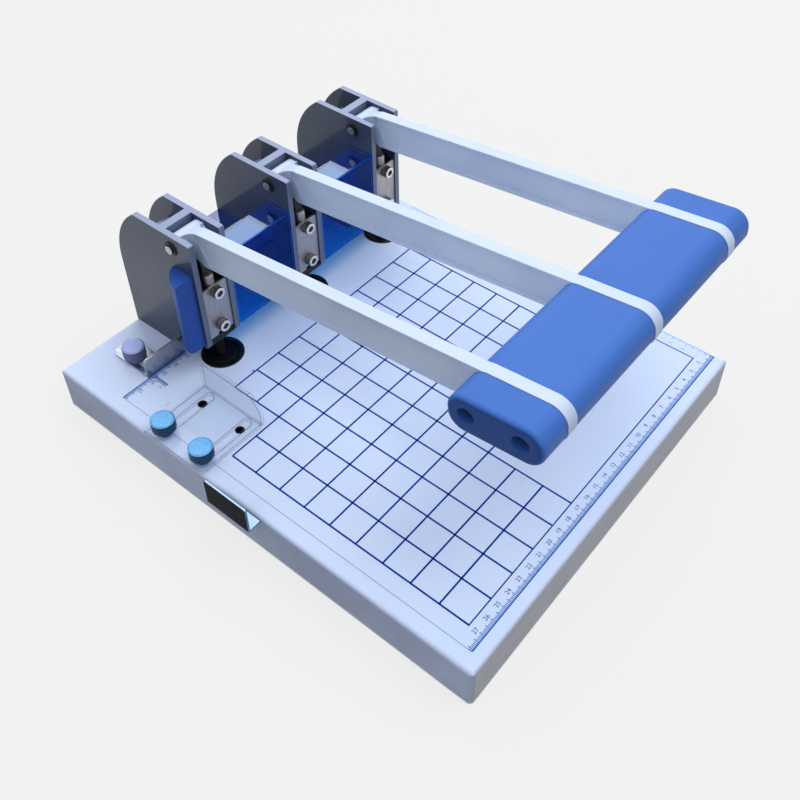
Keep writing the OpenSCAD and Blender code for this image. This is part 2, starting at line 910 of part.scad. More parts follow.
module lever(i) {
    recess_d = (arm_w - arm_web_t) / 2;
    color("white")
        at_head(i)
            difference() {
                union() {
                    bar_x(hub_r, hub_w, pivot_y, pivot_z);
                    on_lever(-arm_w / 2, arm_w)
                        arm_outline();
                    on_lever(-arm_w / 2, arm_w)
                        translate([handle_s, handle_h])
                            rounded_rect(band_l, band_t, handle_r + band_proud);
                    intersection() {
                        on_lever(-hub_w / 2, hub_w)
                            intersection() {
                                arm_outline();
                                translate([0, -arm_root_drop])
                                    square([recess_s0, arm_root_drop + arm_root_top]);
                            }
                        translate([0, pivot_y, pivot_z - 2 * arm_root_drop])
                            linear_extrude(4 * arm_root_drop)
                                difference() {
                                    translate([-hub_w / 2, -fairing_end])
                                        square([hub_w, fairing_end]);
                                    for (x = [-1, 1])
                                        translate([x * hub_w / 2, -fairing_end])
                                            circle(fairing_r);
                                }
                    }
                }
                for (x = [-arm_w / 2 - cut, arm_w / 2 - recess_d])
                    on_lever(x, recess_d + cut)
                        recess_outline();
                on_lever(-cam_slot_w / 2, cam_slot_w)
                    union() {
                        circle(cam_ring_r + bolt_gap);
                        translate([-hub_r - cut, -3 * hub_r])
                            square([cam_tongue_l + hub_r + cut + bolt_gap, 3 * hub_r]);
                        translate([0, -cut])
                            square([cam_tongue_l + bolt_gap, cam_tongue_h + cut]);
                    }
                bar_x(pin_r + run, hub_w + 2 * cut, pivot_y, pivot_z);
                on_lever(-arm_w, 2 * arm_w)
                    for (s = rod_s)
                        translate([s, 0])
                            circle(rod_r + run);
            }
}

// Handle, whose outline is drawn in s and h

module handle_outline(inset = 0) {
    translate([handle_s, handle_h])
        rounded_rect(handle_l - 2 * inset, handle_t - 2 * inset, handle_r - inset);
}

module rod_holes(x0, l, r) {
    on_lever(x0, l)
        for (s = rod_s)
            translate([s, 0])
                circle(r);
}

// Block with the handle's outline, l high, with its upper rim rounded to e
module rimmed_block(l, e) {
    ls = handle_l - 2 * handle_r;
    lh = handle_t - 2 * handle_r;
    translate([-ls / 2, 0, 0])
        rotate([90, 0, 90])
            linear_extrude(ls)
                arch_2d(-handle_t / 2, handle_t, l, e);
    translate([0, lh / 2, 0])
        rotate([90, 0, 0])
            linear_extrude(lh)
                arch_2d(-handle_l / 2, handle_l, l, e);
    for (x = [-ls / 2, ls / 2])
        for (y = [-lh / 2, lh / 2])
            translate([x, y, 0])
                rotate_extrude()
                    intersection() {
                        arch_2d(-handle_r, 2 * handle_r, l, e);
                        square([handle_r, l]);
                    }
}

// End cap with a rounded rim; dir is -1 for the left end and 1 for the right end
module end_cap(x_band, dir) {
    x_in = x_band + dir * arm_w / 2;
    x_out = x_in + dir * cap_l;
    difference() {
        translate([x_in, pivot_y, pivot_z])
            rotate([-lever_tilt, 0, 0])
                translate([0, -handle_s, handle_h])
                    rotate([90, 0, dir * 90])
                        rimmed_block(cap_l, cap_edge_r);
        rod_holes(x_band - 2 * cap_l, 4 * cap_l, rod_r + run);
        rod_holes(dir < 0 ? x_out - cut : x_out - nut_hole_d, nut_hole_d + cut, nut_hole_r);
    }
}

module cap_left() {
    color("royalblue")
        on_deck()
            end_cap(band_x[0], -1);
}

module cap_right() {
    color("royalblue")
        on_deck()
            end_cap(band_x[2], 1);
}

module grip(i) {
    x0 = band_x[i] + arm_w / 2;
    color("royalblue")
        on_deck()
            difference() {
                on_lever(x0, grip_l)
                    handle_outline();
                rod_holes(x0 - cut, grip_l + 2 * cut, rod_r + run);
            }
}

module tie_rods() {
    x0 = band_x[0] - arm_w / 2 - cap_l + nut_hole_d - nut_l + 2;
    x1 = band_x[2] + arm_w / 2 + cap_l - nut_hole_d + nut_l - 2;
    color("silver")
        on_deck()
            rod_holes(x0, x1 - x0, rod_r);
}

module tie_nuts() {
    x_left = band_x[0] - arm_w / 2 - cap_l + nut_hole_d - nut_l;
    x_right = band_x[2] + arm_w / 2 + cap_l - nut_hole_d;
    color("dimgray")
        on_deck()
            difference() {
                for (x = [x_left, x_right])
                    rod_holes(x, nut_l, nut_r);
                rod_holes(x_left + 2, x_right - x_left + nut_l - 4, rod_r);
                on_lever(x_left - cut, x_right - x_left + nut_l + 2 * cut)
                    for (s = rod_s)
                        translate([s, 0])
                            circle(nut_socket_r, $fn = 6);
            }
}

// Guards

module side_guard_plan(inset = 0) {
    plate_x = first_head_x - bracket_w / 2;
    intersection() {
        translate([plate_x - side_guard_out + side_guard_r, side_guard_y])
            circle(side_guard_r - inset);
        translate([plate_x - side_guard_r, side_guard_front + inset])
            square([side_guard_r, side_guard_r]);
    }
}

module side_guard_body(inset = 0) {
    x1 = first_head_x - bracket_w / 2;
    x0 = x1 - side_guard_out - cut;
    r = side_guard_edge_r + cut - inset;
    intersection() {
        translate([0, 0, side_guard_z0 + inset])
            linear_extrude(side_guard_z1 - side_guard_z0 - 2 * inset)
                side_guard_plan(inset);
        translate([x0 + inset, bracket_rear_y, side_guard_z1])
            rotate([90, 0, 0])
                linear_extrude(bracket_rear_y - bracket_front_y)
                    difference() {
                        translate([0, side_guard_z0 - side_guard_z1 + inset])
                            square([x1 - x0, side_guard_z1 - side_guard_z0]);
                        translate([0, side_guard_z0 - side_guard_z1 + inset])
                            mirror([0, 1])
                                corner_waste(r);
                    }
    }
}

module side_guard() {
    color("royalblue")
        on_deck()
            difference() {
                side_guard_body();
                side_guard_body(guard_t);
            }
}

module guard_outline() {
    y_drop = guard_y0 + guard_top_d;
    difference() {
        union() {
            translate([guard_y0, guard_z0])
                square([guard_top_d, guard_z1 - guard_z0]);
            translate([guard_y0, 0])
                square([guard_rear_y - guard_y0, guard_shelf_z]);
        }
        translate([guard_y0 + guard_t, -cut])
            square([guard_top_d - 2 * guard_t, guard_z1 - guard_t + cut]);
        translate([guard_y0 - cut, -cut])
            square([guard_top_d + cut, guard_z0 + cut]);
        translate([y_drop - guard_t - cut, -cut])
            square([guard_rear_y - guard_t - y_drop + guard_t + cut, guard_shelf_z - guard_t + cut]);
        translate([guard_y0, guard_z1])
            corner_waste(guard_bend_r - 1);
        translate([y_drop, guard_z1])
            mirror([1, 0])
                corner_waste(guard_bend_r - 1);
        translate([guard_rear_y, guard_shelf_z])
            mirror([1, 0])
                corner_waste(guard_bend_r - 1);
    }
}

module mid_guard(i) {
    color([0.1, 0.3, 0.85, 0.6])
        on_deck()
            along_x(first_head_x + i * head_pitch + bracket_w / 2, guard_l)
                guard_outline();
}

// Paper stops

module fin_outline() {
    top_r = 6;
    difference() {
        intersection() {
            translate([fin_y0, 0])
                square([guide_y0 + acrylic_l - 1 - fin_y0, fin_h]);
            union() {
                translate([fin_y0 + fin_bulge_r, fin_bulge_z])
                    circle(fin_bulge_r);
                translate([fin_y0 + fin_bulge_r, 0])
                    square([acrylic_l, fin_h]);
            }
        }
        translate([guide_y0 + acrylic_l - 1, fin_h])
            mirror([1, 0])
                corner_waste(top_r);
    }
}

module acrylic_guide() {
    color([0.85, 0.92, 0.95, 0.4])
        on_deck()
            union() {
                linear_extrude(acrylic_t)
                    difference() {
                        translate([guide_x0, guide_y0])
                            square([acrylic_w, acrylic_l]);
                        translate([guide_x0, guide_y0])
                            mirror([0, 1])
                                corner_waste(guide_corner_r);
                        for (y = guide_screw_y)
                            translate([0, y])
                                slot_2d(slot_x0, slot_x1, slot_w);
                    }
                along_x(guide_x1 - acrylic_t, acrylic_t)
                    fin_outline();
            }
}

// Knurled knob with a narrower hub, standing on a face at the height seat
module knob(seat) {
    translate([0, 0, seat])
        cylinder(r = knob_hub_r, h = knob_hub_h);
    translate([0, 0, seat + knob_hub_h])
        linear_extrude(knob_head_h - knob_rim)
            difference() {
                circle(knob_r);
                for (k = [0 : knurl_count - 1])
                    rotate([0, 0, k * 360 / knurl_count])
                        translate([knob_r + 0.1, 0])
                            circle(knurl_r, $fn = 6);
            }
    translate([0, 0, seat + knob_hub_h + knob_head_h - knob_rim])
        cylinder(r1 = knob_r - 0.6, r2 = knob_r - 0.6 - knob_rim, h = knob_rim);
    translate([0, 0, -knob_screw_l])
        cylinder(r = knob_screw_r, h = knob_screw_l + seat);
}

module guide_knob(i) {
    color("lightsteelblue")
        on_deck()
            translate([guide_screw_x, guide_screw_y[i], 0])
                union()
                    knob(acrylic_t);
}

module rear_knob() {
    color("silver")
        on_deck()
            translate([rear_screw[0], rear_screw[1], 0])
                union()
                    knob(rear_stop_t);
}

module rivet_nuts() {
    color("black")
        on_deck()
            nut_places()
                translate([0, 0, -nut_sleeve_l])
                    difference() {
                        union() {
                            cylinder(r = nut_sleeve_r, h = nut_sleeve_l);
                            translate([0, 0, nut_sleeve_l - sheet_t - 1.2])
                                cylinder(r = nut_sleeve_r + 1, h = 1.2);
                        }
                        translate([0, 0, -cut])
                            cylinder(r = thread_r, h = nut_sleeve_l + 2 * cut);
                    }
}

module rear_stop() {
    color("silver")
        on_deck()
            union() {
                linear_extrude(rear_stop_t)
                    difference() {
                        translate([rear_stop_x0, rear_flange_y])
                            square([rear_stop_w, rear_tongue_l]);
                        for (m = [0, 1])
                            translate([rear_stop_x0 + m * rear_stop_w, rear_flange_y + rear_tongue_l])
                                mirror([m, 0])
                                    corner_waste(rear_corner_r);
                        translate([rear_screw[0], 0])
                            rotate([0, 0, 90])
                                slot_2d(rear_slot_y[0], rear_slot_y[1], slot_w);
                    }
                translate([rear_stop_x0, rear_flange_y + rear_stop_t, 0])
                    rotate([90, 0, 0])
                        linear_extrude(rear_stop_t)
                            difference() {
                                square([rear_flange_l, rear_stop_h]);
                                translate([0, rear_stop_h])
                                    corner_waste(2);
                                translate([rear_flange_l, rear_stop_h])
                                    mirror([1, 0])
                                        corner_waste(2);
                            }
            }
}

module side_stop() {
    x_out = base_x0 - side_reach;
    color("gainsboro")
        on_deck()
            union() {
                translate([x_out, side_stop_y0, side_stop_z])
                    cube([side_stop_in, side_stop_w, side_stop_t]);
                translate([x_out, side_stop_y0, side_stop_z])
                    rotate([90, 0, 90])
                        linear_extrude(side_stop_t)
                            difference() {
                                square([side_stop_w, side_stop_h - side_stop_z]);
                                translate([0, side_stop_h - side_stop_z])
                                    corner_waste(1.5);
                                translate([side_stop_w, side_stop_h - side_stop_z])
                                    mirror([1, 0])
                                        corner_waste(1.5);
                            }
            }
}

module stop_rails() {
    color("silver")
        on_deck()
            for (m = [0, 1])
                translate([0, side_stop_y0 + m * side_stop_w, 0])
                    mirror([0, m, 0])
                        translate([base_x0 + sheet_t + 3, rail_grip - rail_w, rail_z0])
                            difference() {
                                cube([side_stop_in, rail_w, -sheet_t - rail_z0]);
                                translate([-cut, rail_w - rail_grip - side_slot_gap,
                                           side_stop_z - rail_z0 - 0.1])
                                    cube([side_stop_in + 2 * cut, rail_w, side_stop_t + 0.2]);
                            }
}

base_shell();
floor_plate();
corner_posts();
feet();
floor_screws();
stiffener();
bracket_bolts();
bracket(0);  // bracket_1
bracket(1);  // bracket_2
bracket(2);  // bracket_3
stripper(0);  // stripper_1
stripper(1);  // stripper_2
stripper(2);  // stripper_3
pad_cups();
pads();
pivot_pins();
e_clips();
slide(0);  // slide_1
slide(1);  // slide_2
slide(2);  // slide_3
cover(0);  // cover_1
cover(1);  // cover_2
cover(2);  // cover_3
clamp_screws(0);  // clamp_screws_1
clamp_screws(1);  // clamp_screws_2
clamp_screws(2);  // clamp_screws_3
ram(0);  // ram_1
ram(1);  // ram_2
ram(2);  // ram_3
punch(0);  // punch_1
punch(1);  // punch_2
punch(2);  // punch_3
spring(0);  // spring_1
spring(1);  // spring_2
spring(2);  // spring_3
lever(0);  // lever_1
lever(1);  // lever_2
lever(2);  // lever_3
cam(0);  // cam_1
cam(1);  // cam_2
cam(2);  // cam_3
cap_left();
grip(0);  // grip_1
grip(1);  // grip_2
cap_right();
tie_rods();
tie_nuts();
side_guard();
mid_guard(0);  // mid_guard_1
mid_guard(1);  // mid_guard_2
acrylic_guide();
guide_knob(0);  // guide_knob_1
guide_knob(1);  // guide_knob_2
rivet_nuts();
rear_stop();
rear_knob();
side_stop();
stop_rails();
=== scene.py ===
"""Looks of the three-hole binding punch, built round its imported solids."""
import json
import math

import bpy
import bmesh
from mathutils import Matrix, Vector


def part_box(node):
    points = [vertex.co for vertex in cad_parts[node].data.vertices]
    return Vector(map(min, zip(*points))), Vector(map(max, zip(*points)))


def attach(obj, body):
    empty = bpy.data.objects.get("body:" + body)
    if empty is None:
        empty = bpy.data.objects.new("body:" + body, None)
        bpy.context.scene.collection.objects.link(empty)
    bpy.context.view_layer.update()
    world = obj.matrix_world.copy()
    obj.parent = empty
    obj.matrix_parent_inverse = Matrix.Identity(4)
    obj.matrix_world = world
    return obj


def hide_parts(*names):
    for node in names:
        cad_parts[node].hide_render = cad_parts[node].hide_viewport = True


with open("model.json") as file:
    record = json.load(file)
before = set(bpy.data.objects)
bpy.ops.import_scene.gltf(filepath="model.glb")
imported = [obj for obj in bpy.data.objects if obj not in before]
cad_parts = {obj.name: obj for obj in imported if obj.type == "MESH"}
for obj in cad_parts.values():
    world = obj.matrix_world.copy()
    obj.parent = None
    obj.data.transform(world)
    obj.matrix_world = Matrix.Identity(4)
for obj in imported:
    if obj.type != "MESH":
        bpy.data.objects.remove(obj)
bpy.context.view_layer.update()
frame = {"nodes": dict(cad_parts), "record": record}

# Places on the deck, in metres: the printed grid's corner and the deck's top
GRID_X, GRID_Y, DECK_Z = -0.1165, -0.151, 0.035

slot_of = {part["node"]: part["material_slot"] for part in frame["record"]["subparts"]}
body_of = {node: body for body, nodes in frame["record"]["behaviour"]["bodies"].items() for node in nodes}


def at(x, y, z=0.0):
    """A point given in millimetres from the grid's corner, in the part's frame."""
    return Vector((GRID_X + x / 1000, GRID_Y + y / 1000, DECK_Z + z / 1000))


# Colours

def rgb(r, g, b):
    return (r, g, b, 1.0)


def toned(color, factor, lift=0.0):
    """A darker or paler colour: each channel times `factor`, plus `lift`, and at most 1."""
    return rgb(*[min(1.0, channel * factor + lift) for channel in color[:3]])


# Shader building

class Nodes:
    """A node tree under construction: each method adds nodes and returns an output."""

    def __init__(self, tree):
        self.tree = tree
        self.tree.nodes.clear()

    def link(self, value, socket):
        if isinstance(value, bpy.types.NodeSocket):
            self.tree.links.new(value, socket)
        else:
            socket.default_value = value

    def add(self, kind, inputs=None, **settings):
        """Adds one node with its settings and inputs, and returns all its outputs."""
        node = self.tree.nodes.new(kind)
        for key, value in settings.items():
            setattr(node, key, value)
        for key, value in (inputs or {}).items():
            self.link(value, node.inputs[key])
        return node.outputs

    def math(self, operation, a, b=0.0):
        return self.add("ShaderNodeMath", {0: a, 1: b}, operation=operation)["Value"]

    def ramp(self, value, low, high, out_low=0.0, out_high=1.0, **settings):
        return self.add("ShaderNodeMapRange", {
            "Value": value, "From Min": low, "From Max": high,
            "To Min": out_low, "To Max": out_high}, **settings)["Result"]

    def mix(self, factor, a, b):
        """Colour between `a` at 0 and `b` at 1."""
        return self.add("ShaderNodeMix", {"Factor": factor, "A": a, "B": b}, data_type="RGBA")["Result"]

    def blend(self, factor, a, b):
        """Shader between `a` at 0 and `b` at 1."""
        return self.add("ShaderNodeMixShader", {0: factor, 1: a, 2: b})["Shader"]

    def seen_ray(self):
        """1 for rays that show the surroundings: seen directly, mirrored or through glass."""
        path = self.add("ShaderNodeLightPath")
        indirect = self.math("MAXIMUM", path["Is Glossy Ray"], path["Is Transmission Ray"])
        return self.math("MAXIMUM", path["Is Camera Ray"], indirect)


class Shader(Nodes):
    """A material under construction, with the patterns that the makers below share."""

    def __init__(self, name):
        self.material = bpy.data.materials.new(name)
        self.material.use_nodes = True
        super().__init__(self.material.node_tree)
        self.output = self.tree.nodes.new("ShaderNodeOutputMaterial")
        self.coords = self.add("ShaderNodeTexCoord")["Object"]

    def noise(self, scale, detail=3.0, rough=0.55, stretch=None, distort=0.0):
        """Noise on object coordinates; `stretch` multiplies them, for grain that runs one way."""
        vector = self.coords
        if stretch:
            vector = self.add("ShaderNodeMapping", {"Vector": self.coords, "Scale": stretch})["Vector"]
        return self.add("ShaderNodeTexNoise", {
            "Vector": vector, "Scale": scale, "Detail": detail,
            "Roughness": rough, "Distortion": distort})["Fac"]

    def edges(self, radius):
        """Rises towards 1 on the part's outer and inner edges."""
        rounded = self.add("ShaderNodeBevel", {"Radius": radius}, samples=6)["Normal"]
        normal = self.add("ShaderNodeNewGeometry")["Normal"]
        dot = self.add("ShaderNodeVectorMath", {0: rounded, 1: normal}, operation="DOT_PRODUCT")["Value"]
        return self.ramp(dot, 0.995, 0.8)

    def hollows(self, reach):
        """Falls to 0 in narrow hollows such as sockets and gaps."""
        open_sky = self.add("ShaderNodeAmbientOcclusion", {"Distance": reach}, samples=6)["AO"]
        return self.ramp(open_sky, 0.35, 0.85)

    def facing(self, axis, low, high):
        """1 where the surface faces along an axis of the part, either way."""
        normal = self.add("ShaderNodeNewGeometry")["Normal"]
        along = self.add("ShaderNodeSeparateXYZ", {0: normal})[axis]
        return self.ramp(self.math("ABSOLUTE", along), low, high)

    def bump(self, height, strength, distance, soften=0.0):
        inputs = {"Height": height, "Strength": strength, "Distance": distance}
        if soften:
            inputs["Normal"] = self.add("ShaderNodeBevel", {"Radius": soften}, samples=4)["Normal"]
        return self.add("ShaderNodeBump", inputs)["Normal"]

    def principled(self, color, rough, **values):
        inputs = {"Base Color": color, "Roughness": rough}
        inputs.update((key.replace("_", " "), value) for key, value in values.items())
        return self.add("ShaderNodeBsdfPrincipled", inputs)["BSDF"]

    def finish(self, shader):
        self.link(shader, self.output.inputs["Surface"])
        return self.material


# Makers of materials. Noise scales count waves per metre, and bump distances are in metres.

def powder_coat(name, color, shade, rough, dirt, gloss, side=None, front=None):
    """Baked powder: fine orange peel, faint handling marks, slightly thin, shinier edges, and painted
    shade on the deck's walls and painted light on the levers' sides.
    """
    s = Shader(name)
    cloud = s.noise(9.0)
    smudge = s.noise(38.0, 4.0, distort=0.6)
    tone = s.mix(s.ramp(cloud, 0.35, 0.7), color, shade)
    tone = s.mix(s.math("MULTIPLY", s.ramp(smudge, 0.55, 0.8), dirt), tone, toned(shade, 0.9))
    # Painted shade and light: faces along X take the side tone, darker on the deck's side walls and paler
    # on the levers' sides; faces along Y take the front tone, the deck's darker front wall.
    if side:
        tone = s.mix(s.facing("X", 0.6, 0.9), tone, s.mix(s.ramp(cloud, 0.35, 0.7), side, tone))
    if front:
        tone = s.mix(s.facing("Y", 0.6, 0.9), tone, front)
    peel = s.noise(1500.0, 2.0)
    fine = s.noise(4200.0, 1.0)
    height = s.math("ADD", peel, s.math("MULTIPLY", fine, 0.4))
    roughness = s.math("ADD", s.ramp(smudge, 0.3, 0.75, rough - 0.05, rough + 0.08),
                       s.math("MULTIPLY", s.edges(0.0006), -0.06))
    normal = s.bump(height, strength=0.25, distance=0.00006, soften=0.0005)
    return s.finish(s.principled(tone, roughness, Normal=normal, Specular_IOR_Level=gloss,
                                 Coat_Weight=0.3 * gloss, Coat_Roughness=0.18))


def brushed(name, color, shade, grain, rough, metallic=1.0, side=None):
    """Ground or rolled metal: grain along one axis, cloudy tone, bright edges, and painted shade on the
    knobs' upright faces.
    """
    s = Shader(name)
    lines = s.noise(1.0, 4.0, 0.6, stretch=grain)
    cloud = s.noise(42.0)
    tone = s.mix(s.ramp(lines, 0.3, 0.7), color, shade)
    tone = s.mix(s.math("MULTIPLY", s.ramp(cloud, 0.5, 0.8), 0.35), tone, toned(shade, 0.75))
    tone = s.mix(s.math("MULTIPLY", s.edges(0.0005), 0.25), tone, toned(color, 1.35, 0.05))
    # Painted shade: upright faces, such as the knobs' knurled sides, take the darker side tone, with the
    # main colour along their edges.
    if side:
        rim = s.mix(s.math("MULTIPLY", s.edges(0.0001), 0.6), side, color)
        tone = s.mix(s.facing("Z", 0.8, 0.3), tone, rim)
    roughness = s.math("ADD", s.ramp(lines, 0.25, 0.75, rough - 0.06, rough + 0.1),
                       s.ramp(cloud, 0.4, 0.8, 0.0, 0.08))
    normal = s.bump(lines, strength=0.18, distance=0.00004, soften=0.0003)
    return s.finish(s.principled(tone, roughness, Normal=normal, Metallic=metallic))


def satin_plate(name, face, shade, painted_edge_light, painted_light_and_wear):
    """Bead-blasted plate: soft mottling and fine grain on its faces, painted light on its edge faces and
    top faces, and paler edges, partly worn and partly painted highlight.
    """
    s = Shader(name)
    cloud = s.noise(16.0, 4.0)
    grain = s.noise(2600.0, 2.0)
    tone = s.mix(s.ramp(cloud, 0.35, 0.7), face, shade)
    # Painted light: faces across the plate's thickness take a paler tone, faces that look up a paler one
    # still, and the edges pale towards it, partly wear and partly painted highlight.
    tone = s.mix(s.facing("X", 0.85, 0.6), tone, painted_edge_light)
    tone = s.mix(s.facing("Z", 0.6, 0.95), tone, painted_light_and_wear)
    tone = s.mix(s.math("MULTIPLY", s.edges(0.0006), 0.35), tone, painted_light_and_wear)
    roughness = s.math("ADD", s.ramp(cloud, 0.3, 0.75, 0.43, 0.55), s.math("MULTIPLY", grain, 0.05))
    normal = s.bump(grain, strength=0.2, distance=0.00004, soften=0.0004)
    return s.finish(s.principled(tone, roughness, Normal=normal, Metallic=0.25,
                                 Specular_IOR_Level=0.3, Coat_Weight=0.4, Coat_Roughness=0.05))


def polished(name, face, rest):
    """Polished plate with painted reflections: near black on the faces along X, pale blue on the foot and
    other faces, and a painted highlight on the edges.
    """
    s = Shader(name)
    haze = s.noise(70.0, 4.0, distort=0.5)
    fine = s.noise(1.0, 3.0, 0.6, stretch=(60, 700, 60))
    # Painted reflections: the faces along X are painted near black and kept non-metallic, the foot and
    # other faces pale blue, and the edges take a painted highlight.
    black = s.facing("X", 0.6, 0.85)
    painted_light_and_wear = s.edges(0.0002)
    tone = s.mix(black, rest, s.mix(s.ramp(haze, 0.35, 0.7), face, toned(face, 1.6)))
    tone = s.mix(s.math("MULTIPLY", painted_light_and_wear, 0.7), tone, rgb(0.62, 0.68, 0.74))
    dark_reflection_faces = s.math("MULTIPLY", black, s.math("SUBTRACT", 1.0, painted_light_and_wear))
    metal = s.math("SUBTRACT", 0.9, s.math("MULTIPLY", dark_reflection_faces, 0.9))
    normal = s.bump(fine, strength=0.1, distance=0.00003, soften=0.0003)
    return s.finish(s.principled(tone, s.ramp(haze, 0.3, 0.75, 0.16, 0.28), Normal=normal,
                                 Metallic=metal, Specular_IOR_Level=0.01))


def black_oxide(name, color, shade, rough):
    """Oiled black finish on steel, rubbed brown-grey along its edges."""
    s = Shader(name)
    cloud = s.noise(60.0, 4.0, distort=0.4)
    grain = s.noise(1900.0, 2.0)
    tone = s.mix(s.ramp(cloud, 0.35, 0.75), color, shade)
    tone = s.mix(s.math("MULTIPLY", s.edges(0.0004), 0.4), tone, rgb(0.16, 0.15, 0.15))
    roughness = s.ramp(cloud, 0.3, 0.8, rough - 0.08, rough + 0.12)
    normal = s.bump(grain, strength=0.15, distance=0.00003, soften=0.0003)
    return s.finish(s.principled(tone, roughness, Normal=normal, Metallic=0.85))


def moulded(name, color, shade, rough, end=None):
    """Moulded plastic: fine satin grain, faint flow marks and rubbed patches, and painted shade on the
    ends that face along X.
    """
    s = Shader(name)
    flow = s.noise(14.0, distort=1.2)
    grain = s.noise(2300.0, 2.0)
    rub = s.noise(90.0, 5.0)
    tone = s.mix(s.ramp(flow, 0.35, 0.7), color, shade)
    tone = s.mix(s.math("MULTIPLY", s.ramp(rub, 0.6, 0.85), 0.12), tone, toned(color, 1.5, 0.02))
    # Painted shade: the faces along X, the handle's ends, take the darker end tone.
    if end:
        tone = s.mix(s.facing("X", 0.6, 0.95), tone, end)
    roughness = s.math("ADD", s.ramp(rub, 0.35, 0.75, rough - 0.03, rough + 0.06),
                       s.math("MULTIPLY", grain, 0.04))
    normal = s.bump(grain, strength=0.22, distance=0.00005, soften=0.0008)
    return s.finish(s.principled(tone, roughness, Normal=normal, Specular_IOR_Level=0.18,
                                 Coat_Weight=0.02, Coat_Roughness=0.3))


def rubber(name, color, dusty):
    """Matt rubber with dust in its pores."""
    s = Shader(name)
    dust = s.noise(120.0, 4.0)
    tone = s.mix(s.ramp(dust, 0.5, 0.8), color, dusty)
    normal = s.bump(s.noise(1800.0), strength=0.3, distance=0.00008, soften=0.0004)
    return s.finish(s.principled(tone, s.ramp(dust, 0.3, 0.8, 0.7, 0.88), Normal=normal))


def clear_sheet(name, tint, deep, body, haze, upright_haze, gleam, flat_gleam, reflect, rear=None):
    """Clear sheet: coloured light through it, a mirror on its flat top and a little milky haze.

    The last argument, if given, is (start, end, tint) along Y: painted shade, a deeper tint towards the
    back wall.
    """
    s = Shader(name)
    swirl = s.noise(30.0, 4.0, distort=0.8)
    # Painted shade: towards the back wall the sheet passes less light, of a deeper blue.
    if rear:
        start, end, rear_shade_tint = rear
        depth = s.ramp(s.add("ShaderNodeSeparateXYZ", {0: s.coords})["Y"], start, end)
        tint, deep = s.mix(depth, tint, rear_shade_tint), s.mix(depth, deep, rear_shade_tint)
    passed = s.mix(s.ramp(swirl, 0.3, 0.75), tint, deep)
    through = s.add("ShaderNodeBsdfTransparent", {"Color": passed})["BSDF"]

    grain = s.bump(s.noise(1500.0, 2.0), strength=0.06, distance=0.00002)
    lit = s.add("ShaderNodeBsdfDiffuse", {"Color": body, "Normal": grain})["BSDF"]
    back = s.add("ShaderNodeBsdfTranslucent", {"Color": body, "Normal": grain})["BSDF"]
    upright = s.math("MULTIPLY", s.facing("X", 0.6, 0.95), upright_haze)
    milk = s.math("MULTIPLY", s.ramp(swirl, 0.2, 0.9, 0.85, 1.15), s.math("ADD", upright, haze))
    dense = s.blend(milk, through, s.blend(0.4, lit, back))

    # Schlick's reflectance, the same from both sides of the sheet
    grazing = s.add("ShaderNodeLayerWeight", {"Blend": 0.5})["Facing"]
    schlick = s.math("ADD", 0.04, s.math("MULTIPLY", s.math("POWER", grazing, 5.0), 0.96))
    strength = s.math("ADD", s.math("MULTIPLY", s.facing("Z", 0.8, 0.98), flat_gleam), gleam)
    shine = s.math("MINIMUM", s.math("MULTIPLY", schlick, strength), 0.9)
    polish = s.ramp(swirl, 0.3, 0.8, 0.02, 0.05)
    mirror = s.add("ShaderNodeBsdfGlossy", {"Color": reflect, "Roughness": polish})["BSDF"]
    return s.finish(s.blend(shine, dense, mirror))


def sheet_rim(name, color, cover):
    """Sawn and polished rim of a clear sheet, its look painted: a painted blue glow on the guards' rims
    and painted dark lines on the acrylic guide's.
    """
    s = Shader(name)
    grain = s.noise(1.0, 3.0, 0.6, stretch=(500, 500, 60))
    # Painted light and shade on the rim: the given colour is a painted blue glow on the guards and painted
    # dark lines on the acrylic guide.
    tone = s.mix(s.ramp(grain, 0.3, 0.7), color, toned(color, 0.7))
    normal = s.bump(grain, strength=0.1, distance=0.00003)
    solid = s.principled(tone, s.ramp(grain, 0.3, 0.7, 0.18, 0.3), Normal=normal)
    through = s.add("ShaderNodeBsdfTransparent", {"Color": tone})["BSDF"]
    return s.finish(s.blend(cover, through, solid))


def socket_screw(name, axis, end):
    """Turned steel: ends of colour `end` that face along `axis`, darker sides, and painted shade in the
    sockets and other hollows.
    """
    s = Shader(name)
    turned = s.noise(1.0, 3.0, 0.6, stretch=(900, 90, 900))
    tone = s.mix(s.ramp(turned, 0.3, 0.7), rgb(0.26, 0.25, 0.25), rgb(0.16, 0.155, 0.16))
    tone = s.mix(s.facing(axis, 0.55, 0.8), tone, end)
    tone = s.mix(s.math("MULTIPLY", s.edges(0.0001), 0.5), tone, rgb(0.6, 0.59, 0.58))
    # Painted shade: narrow hollows such as the hex sockets turn near black.
    tone = s.mix(s.hollows(0.0011), rgb(0.012, 0.011, 0.012), tone)
    normal = s.bump(turned, strength=0.2, distance=0.00004, soften=0.0002)
    return s.finish(s.principled(tone, s.ramp(turned, 0.3, 0.7, 0.2, 0.34), Normal=normal,
                                 Metallic=0.95))


def ink(name, color, fade):
    """Screen-printed ink: slightly uneven cover over the powder coat."""
    s = Shader(name)
    cover = s.noise(700.0)
    tone = s.mix(s.ramp(cover, 0.55, 0.85), color, fade)
    return s.finish(s.principled(tone, s.ramp(cover, 0.3, 0.8, 0.45, 0.6), Specular_IOR_Level=0.06))


# The materials, by name: first the record's slots, then those of single pieces and prints

GUARD_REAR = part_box("mid_guard_1")[1][1]

